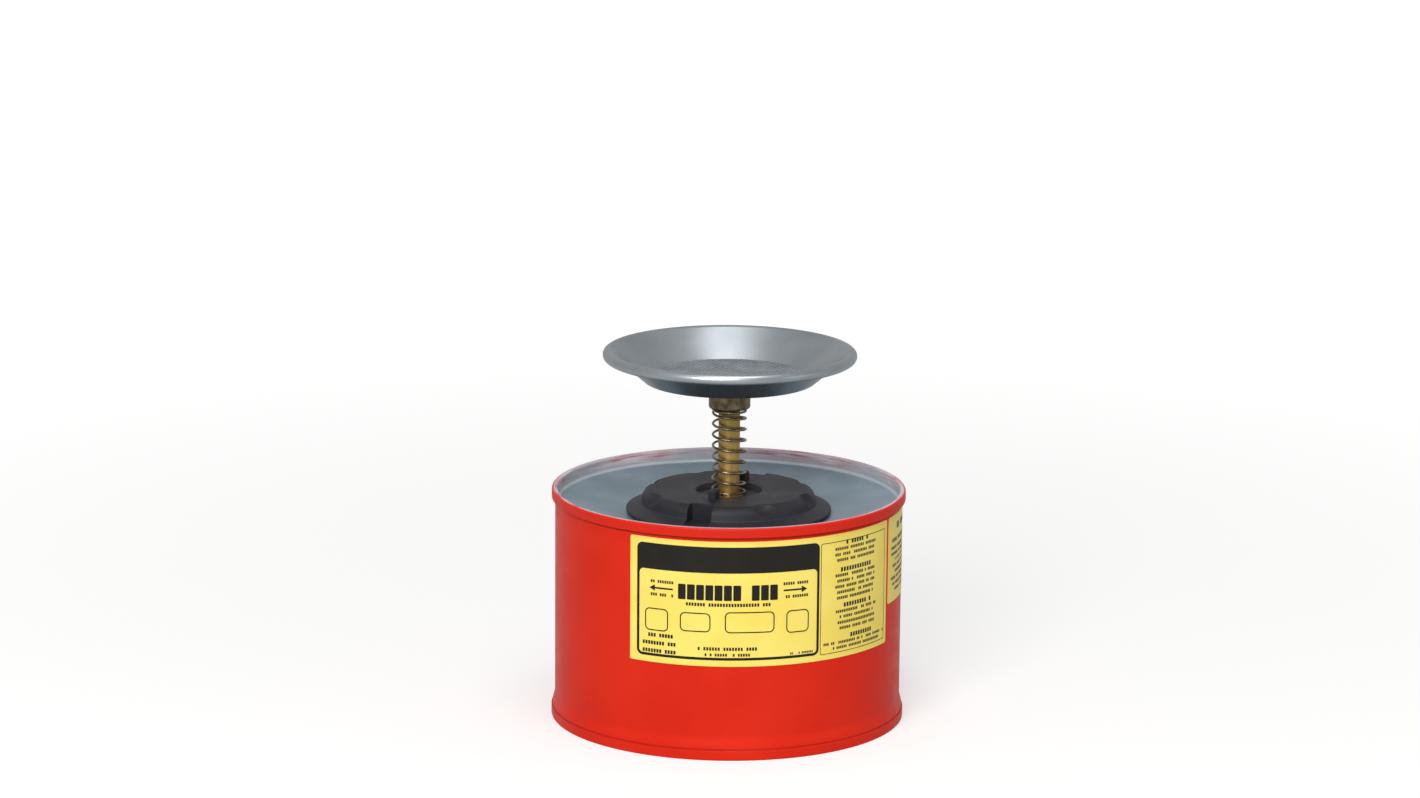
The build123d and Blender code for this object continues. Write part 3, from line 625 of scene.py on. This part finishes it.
def bent(across, up, radius):
    """Point on the can's side: across is mm to the right of the front, up is a height in mm."""
    turn = across * MM / PAPER_R
    return (radius * sin(turn), -radius * cos(turn), up * MM)


def bent_strip(mesh, columns, inner, outer):
    """Adds a closed curved slab to a bmesh. Each column is across, low and high in mm."""
    rows = []
    for across, low, high in columns:
        spots = [(low, inner), (high, inner), (high, outer), (low, outer)]
        rows.append([mesh.verts.new(bent(across, up, radius)) for up, radius in spots])
    for here, there in zip(rows, rows[1:]):
        for k in range(4):
            n = (k + 1) % 4
            mesh.faces.new((here[k], there[k], there[n], here[n]))
    mesh.faces.new(rows[0])
    mesh.faces.new(rows[-1][::-1])


def places(left, right, radius=0.0):
    """Where to put columns from left to right: closer together in the rounded corners."""
    flat = right - left - 2 * radius
    count = max(1, ceil(flat / STEP))
    middle = [left + radius + flat * n / count for n in range(count + 1)]
    # in a corner, a column for every 15 degrees of its quarter circle
    corner = [radius * (1 - cos(radians(15 * k))) for k in range(6)] if radius else []
    return [left + c for c in corner] + middle + [right - c for c in reversed(corner)]


def inset(x, left, right, radius):
    """How far a rounded corner cuts in at x."""
    edge = min(x - left, right - x, radius)
    return radius - max(0.0, radius**2 - (radius - edge) ** 2) ** 0.5


def bent_piece(name, draw, material):
    """Makes a piece from what draw(mesh) adds, with its faces turned outwards."""
    mesh = bmesh.new()
    draw(mesh)
    bmesh.ops.recalc_face_normals(mesh, faces=mesh.faces)
    data = bpy.data.meshes.new(name)
    mesh.to_mesh(data)
    mesh.free()
    data.materials.append(material)
    made = bpy.data.objects.new(name, data)
    scene.collection.objects.link(made)
    for face in data.polygons:
        face.use_smooth = True
    data.set_sharp_from_angle(angle=radians(30))
    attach(made, "can")
    print(name, "has", len(data.polygons), "faces")
    return made


LABEL_LEFT, LABEL_RIGHT = -33.1, 64.0  # degrees from the front
SIDE_LEFT, SIDE_RIGHT = 65.5, 122.0
DEGREE = radians(1) * PAPER_R / MM  # mm round the can
label_bottom, label_top = label_low.z / MM, label_high.z / MM
side_bottom, side_top = side_low.z / MM, side_high.z / MM


def label_sheet(name, node, left, right, bottom, top):
    """A label's paper, with small rounded corners, in place of its CAD node."""
    left, right = left * DEGREE, right * DEGREE

    def draw(mesh):
        cuts = [(x, inset(x, left, right, PAPER_CORNER)) for x in places(left, right, PAPER_CORNER)]
        columns = [(x, bottom + cut, top - cut) for x, cut in cuts]
        bent_strip(mesh, columns, SHELL_R + GLUE_T, PAPER_R)

    made = bent_piece(name, draw, finishes["label_paper"])
    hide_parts(node)


front_span = (LABEL_LEFT, LABEL_RIGHT, label_bottom, label_top)
side_span = (SIDE_LEFT, SIDE_RIGHT, side_bottom, side_top)
label_sheet("front_label_paper", "front_label", *front_span)
label_sheet("side_label_paper", "side_label", *side_span)

# %% [markdown]
# ## Print on the labels
# The print is plain: a black band across the top of a rounded frame, two fill-level arrows, a
# heading of blank blocks, four empty fields, and small blocks where lines of words would
# stand. A real label would name the can and its maker here; this one is left nameless.
# %% Shapes of the print
LEAST_CORNER = 0.05  # mm, of the inner edge of a frame


def bar(mesh, left, right, low, high, radius=0.0):
    """A filled bar, its corners rounded by radius."""
    cuts = [(x, inset(x, left, right, radius)) for x in places(left, right, radius)]
    columns = [(x, low + cut, high - cut) for x, cut in cuts]
    bent_strip(mesh, columns, PAPER_R, PAPER_R + INK_T)


def loop_points(left, right, low, high, radius):
    """Points round a rounded box, the same number whatever the radius."""
    spots = []
    for cx, cy, start in (
        (right - radius, high - radius, 0),
        (left + radius, high - radius, 90),
        (left + radius, low + radius, 180),
        (right - radius, low + radius, 270),
    ):
        for k in range(9):
            turn = radians(start + k * 90 / 8)
            spots.append((cx + radius * cos(turn), cy + radius * sin(turn)))
    return spots


def outline(mesh, left, right, low, high, radius, width):
    """A frame: a rounded box with a narrower one cut out of it."""
    outer = loop_points(left, right, low, high, radius)
    inner_r = max(radius - width, LEAST_CORNER)
    inner = loop_points(left + width, right - width, low + width, high - width, inner_r)
    pairs = list(zip(outer, inner))
    rows = []
    for here, there in zip(pairs, pairs[1:] + pairs[:1]):
        gap = hypot(there[0][0] - here[0][0], there[0][1] - here[0][1])
        pieces = int(gap / STEP) + 1
        for n in range(pieces):
            a, b = (Vector(p).lerp(Vector(q), n / pieces) for p, q in zip(here, there))
            ring = [(a, PAPER_R), (b, PAPER_R), (b, PAPER_R + INK_T), (a, PAPER_R + INK_T)]
            rows.append([mesh.verts.new(bent(*spot, out)) for spot, out in ring])
    for here, there in zip(rows, rows[1:] + rows[:1]):
        for k in range(4):
            n = (k + 1) % 4
            mesh.faces.new((here[k], there[k], there[n], here[n]))


HEAD_L, HEAD_HALF, SHAFT_HALF, POINT_HALF = 3.0, 1.7, 0.45, 0.02  # mm, of an arrow


def arrow(mesh, tail, tip, middle):
    """A level arrow from tail to tip."""
    neck = tip - HEAD_L if tip > tail else tip + HEAD_L
    shaft = sorted((tail, neck))
    bar(mesh, *shaft, middle - SHAFT_HALF, middle + SHAFT_HALF)
    along = places(*sorted((neck, tip)))
    half = [(x, POINT_HALF + HEAD_HALF * abs(tip - x) / HEAD_L) for x in along]
    columns = [(x, middle - h, middle + h) for x, h in half]
    bent_strip(mesh, columns, PAPER_R, PAPER_R + INK_T)


print("arrow heads are", HEAD_L, "mm long")

# %% [markdown]
# With those shapes the front label is drawn from named places, all in millimetres: the frame
# and its band, the two arrows at the fill level, the heading, the fields and the panel's border.
# %% Band, frames and arrows of the front label
FRAME_LEFT, FRAME_RIGHT = -30.5 * DEGREE, 30.8 * DEGREE
FRAME_LOW, FRAME_HIGH = 52.3, 111.1
FRAME_MIDDLE = (FRAME_LEFT + FRAME_RIGHT) / 2
FRAME_CORNER = 3.2
LINE = 1.4  # width of the frame's line
BAND_LOW = 97.6
BAND_TOP_CORNER, YELLOW_CORNER = 1.8, 2.4  # at the band's top and foot
ARROW_Z, ARROW_TAIL, ARROW_TIP = 88.0, 28.4, 41.2  # tail and tip are from the frame's middle
BLOCK_W, BLOCK_STEP, BLOCK_LOW, BLOCK_HIGH = 4.0, 4.7, 83.4, 91.4  # blocks of the heading
BLOCK_CORNER = 0.5
HEADING = [0, 1, 2, 3, 4, 5, 6, 8, 9, 10]  # where a block stands; 7 parts two words
HEADING_LEFT = FRAME_MIDDLE - 25.7
FIELDS = (  # left, right, low and high of the four blank fields
    (-43.4, -30.6, 65.6, 77.4),
    (-24.4, -8.6, 66.8, 76.8),
    (-1.4, 24.0, 66.6, 77.6),
    (30.2, 42.6, 65.6, 77.4),
)
FIELD_CORNER, FIELD_LINE = 2.6, 0.6
PANEL = (FRAME_RIGHT + 0.8, LABEL_RIGHT * DEGREE - 2.6, FRAME_LOW - 0.4, FRAME_HIGH - 1.0)
PANEL_CORNER, PANEL_LINE = 1.0, 0.35


def draw_front_print(mesh):
    # the rounded frame, and the band that fills its top down to the yellow's rounded corners
    outline(mesh, FRAME_LEFT, FRAME_RIGHT, FRAME_LOW, FRAME_HIGH, FRAME_CORNER, LINE)
    left, right, top = FRAME_LEFT + LINE, FRAME_RIGHT - LINE, FRAME_HIGH - LINE
    columns = []
    for x in places(left, right, YELLOW_CORNER):
        low = BAND_LOW - inset(x, left, right, YELLOW_CORNER)
        columns.append((x, low, top - inset(x, left, right, BAND_TOP_CORNER)))
    bent_strip(mesh, columns, PAPER_R, PAPER_R + INK_T)

    # fill-level arrows, and a heading of ten blocks
    for side in (-1, 1):
        tail, tip = FRAME_MIDDLE + side * ARROW_TAIL, FRAME_MIDDLE + side * ARROW_TIP
        arrow(mesh, tail, tip, ARROW_Z)
    for place in HEADING:
        left = HEADING_LEFT + place * BLOCK_STEP
        bar(mesh, left, left + BLOCK_W, BLOCK_LOW, BLOCK_HIGH, BLOCK_CORNER)

    # four blank fields, and the thin border of the panel beside the frame
    for field in FIELDS:
        outline(mesh, *field, FIELD_CORNER, FIELD_LINE)
    outline(mesh, *PANEL, PANEL_CORNER, PANEL_LINE)


front_print = bent_piece("front_label_print", draw_front_print, ink)

# %% [markdown]
# Fine print is the same small block many times over, so Geometry Nodes lay it out. A grid has
# one point for each letter, a random choice leaves some out to part the words, another
# shortens each line at both ends, and a block stands on every point that is left. Every
# paragraph is the same group with its own sizes. The whole print is then bent round the can.
# %% A paragraph of small blocks
LETTER_STEP = 0.84  # from one letter to the next, as a share of a letter's height
LETTER_SHARE = 0.72  # of a letter's step that its block fills
WORD_CHANCE = 0.85  # that a letter stands, and doesn't part two words
SHORTEST_LINE, LONGEST_LINE = 0.8, 1.02  # of the width; over 1, so that a full line keeps its ends


def paragraph_tree():
    sizes = {"across": 0.0, "top": 0.0, "width": 10.0, "drop": 0.0, "step": 1.0, "height": 1.0}
    sizes |= {"shortest": SHORTEST_LINE, "letters": 9, "lines": 1, "seed": 1}
    tree, size = new_tree("paragraph", sizes)
    grid = {
        "Size X": size["width"],
        "Size Y": size["drop"],
        "Vertices X": size["letters"],
        "Vertices Y": size["lines"],
    }
    grid = add_node(tree, "GeometryNodeMeshGrid", grid).outputs["Mesh"]
    spot = add_node(tree, "ShaderNodeSeparateXYZ", {0: add_node(tree, "GeometryNodeInputPosition")})

    # each line has one random length; its points have the same height, which tells it apart
    line = add_node(tree, "ShaderNodeMath", {0: spot.outputs["Y"], 1: 10.0}, operation="MULTIPLY")
    length = {"Min": size["shortest"], "Max": LONGEST_LINE, "ID": line, "Seed": size["seed"]}
    length = add_node(tree, "FunctionNodeRandomValue", length, data_type="FLOAT")
    half = add_node(tree, "ShaderNodeMath", {0: size["width"], 1: 0.5}, operation="MULTIPLY")
    half = add_node(tree, "ShaderNodeMath", {0: half, 1: length}, operation="MULTIPLY")
    out = add_node(tree, "ShaderNodeMath", {0: spot.outputs["X"]}, operation="ABSOLUTE")
    inside = add_node(tree, "ShaderNodeMath", {0: out, 1: half}, operation="LESS_THAN")
    stands = {"Probability": WORD_CHANCE, "Seed": size["seed"]}
    stands = add_node(tree, "FunctionNodeRandomValue", stands, data_type="BOOLEAN")
    missing = add_node(tree, "FunctionNodeBooleanMath", {0: inside, 1: stands}, operation="NAND")
    letters = add_node(tree, "GeometryNodeDeleteGeometry", {"Geometry": grid, "Selection": missing})

    wide = {0: size["step"], 1: LETTER_SHARE}
    wide = add_node(tree, "ShaderNodeMath", wide, operation="MULTIPLY")
    block = add_node(tree, "ShaderNodeCombineXYZ", {0: wide, 1: size["height"], 2: INK_T / MM})
    block = add_node(tree, "GeometryNodeMeshCube", {"Size": block}).outputs["Mesh"]
    blocks = {"Points": letters, "Instance": block}
    blocks = add_node(tree, "GeometryNodeInstanceOnPoints", blocks)
    # the grid is drawn round its middle, and the paragraph hangs from its top
    hang = {0: size["drop"], 1: -0.5, 2: size["top"]}
    hang = add_node(tree, "ShaderNodeMath", hang, operation="MULTIPLY_ADD")
    hang = {0: size["height"], 1: -0.5, 2: hang}
    hang = add_node(tree, "ShaderNodeMath", hang, operation="MULTIPLY_ADD")
    place = add_node(tree, "ShaderNodeCombineXYZ", {0: size["across"], 1: hang})
    placed = {"Geometry": blocks, "Translation": place}
    placed = add_node(tree, "GeometryNodeTransform", placed)
    add_node(tree, "NodeGroupOutput", {"Geometry": placed})
    return tree


paragraph = paragraph_tree()
print("paragraph tree has", len(paragraph.nodes), "nodes")

# %% [markdown]
# Each paragraph then gets its place, width, lines and letter height. A label's paragraphs are
# joined, and every point moves from the flat drawing to the can's side: its distance across
# becomes a turn about the axis, and the thickness of a block points outwards.
# %% Lay the paragraphs out and bend them round the can


def print_tree(name, paragraphs, material):
    """A label's fine print. A paragraph is its middle, top, width, lines, height and pitch."""
    tree, size = new_tree(name, {"paper_radius": PAPER_R / MM})
    joined = add_node(tree, "GeometryNodeJoinGeometry")
    for seed, (across, top, width, lines, height, pitch) in enumerate(paragraphs):
        step = LETTER_STEP * height
        values = {"across": across, "top": top, "width": width, "height": height, "step": step}
        values |= {"drop": pitch * (lines - 1), "lines": lines, "letters": round(width / step) + 1}
        values |= {"shortest": SHORTEST_LINE if lines > 1 else 1.0, "seed": seed}
        made = add_node(tree, "GeometryNodeGroup", {}, node_tree=paragraph)
        wire_up(tree, made, values)
        tree.links.new(made.outputs[0], joined.inputs[0])
    real = add_node(tree, "GeometryNodeRealizeInstances", {"Geometry": joined})

    spot = add_node(tree, "ShaderNodeSeparateXYZ", {0: add_node(tree, "GeometryNodeInputPosition")})
    turn = {0: spot.outputs["X"], 1: size["paper_radius"]}
    turn = add_node(tree, "ShaderNodeMath", turn, operation="DIVIDE")
    sine = add_node(tree, "ShaderNodeMath", {0: turn}, operation="SINE")
    cosine = add_node(tree, "ShaderNodeMath", {0: turn}, operation="COSINE")
    out = {0: size["paper_radius"], 1: spot.outputs["Z"]}
    out = add_node(tree, "ShaderNodeMath", out, operation="ADD")
    out = add_node(tree, "ShaderNodeMath", {0: out, 1: INK_T / MM / 2}, operation="ADD")
    back = add_node(tree, "ShaderNodeMath", {0: cosine, 1: -1.0}, operation="MULTIPLY")
    x = add_node(tree, "ShaderNodeMath", {0: out, 1: sine}, operation="MULTIPLY")
    y = add_node(tree, "ShaderNodeMath", {0: out, 1: back}, operation="MULTIPLY")
    bent_mm = add_node(tree, "ShaderNodeCombineXYZ", {0: x, 1: y, 2: spot.outputs["Y"]})
    bent_m = {0: bent_mm, "Scale": MM}
    bent_m = add_node(tree, "ShaderNodeVectorMath", bent_m, operation="SCALE")
    bent_print = {"Geometry": real, "Position": bent_m}
    finish_tree(tree, add_node(tree, "GeometryNodeSetPosition", bent_print), material)
    return tree


FRONT_PARAGRAPHS = [
    # beside the arrows, under the heading, and along the foot of the frame
    (FRAME_MIDDLE - 35, 92.2, 12.5, 1, 1.5, 0),
    (FRAME_MIDDLE + 35, 92.2, 12.5, 1, 1.5, 0),
    (FRAME_MIDDLE - 35, 85.4, 12.5, 1, 1.5, 0),
    (FRAME_MIDDLE + 35, 85.4, 12.5, 1, 1.5, 0),
    (FRAME_MIDDLE, 82.0, 42, 1, 1.7, 0),
    (-35.6, 64.3, 20, 3, 1.9, 4.1),
    (0, 59.1, 29, 1, 1.7, 0),
    (0, 55.9, 22, 1, 1.5, 0),
    (38.8, 55.3, 12, 1, 1.1, 0),
    # four headings in the panel, each with its paragraph
    (73.6, 110.2, 15, 1, 2.2, 0),
    (73.4, 106.8, 32, 3, 1.5, 2.95),
    (73.2, 96.2, 21, 1, 2.2, 0),
    (73.2, 92.9, 31, 5, 1.5, 2.95),
    (74.4, 77.4, 19, 1, 2.2, 0),
    (74.2, 74.0, 32, 4, 1.5, 2.95),
    (76.4, 61.0, 17, 1, 2.2, 0),
    (74.4, 57.7, 45, 2, 1.4, 2.6),
]
SIDE_MARGIN = 3  # mm
side_left, side_right = SIDE_LEFT * DEGREE + SIDE_MARGIN, SIDE_RIGHT * DEGREE - SIDE_MARGIN
side_middle, side_width = (side_left + side_right) / 2, side_right - side_left
SIDE_PARAGRAPHS = [
    (side_middle, side_top - 4.5, side_width - 16, 1, 3.4, 0),
    (side_middle, side_top - 12.2, side_width - 6, 1, 2.0, 0),
    (side_middle, side_top - 16.4, side_width - 3, 8, 1.5, 3.2),
]
for name, paragraphs in (
    ("front_label_lettering", FRONT_PARAGRAPHS),
    ("side_label_lettering", SIDE_PARAGRAPHS),
):
    lettering = mesh_from_tree(name, print_tree(name, paragraphs, ink), {})
    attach(lettering, "can")
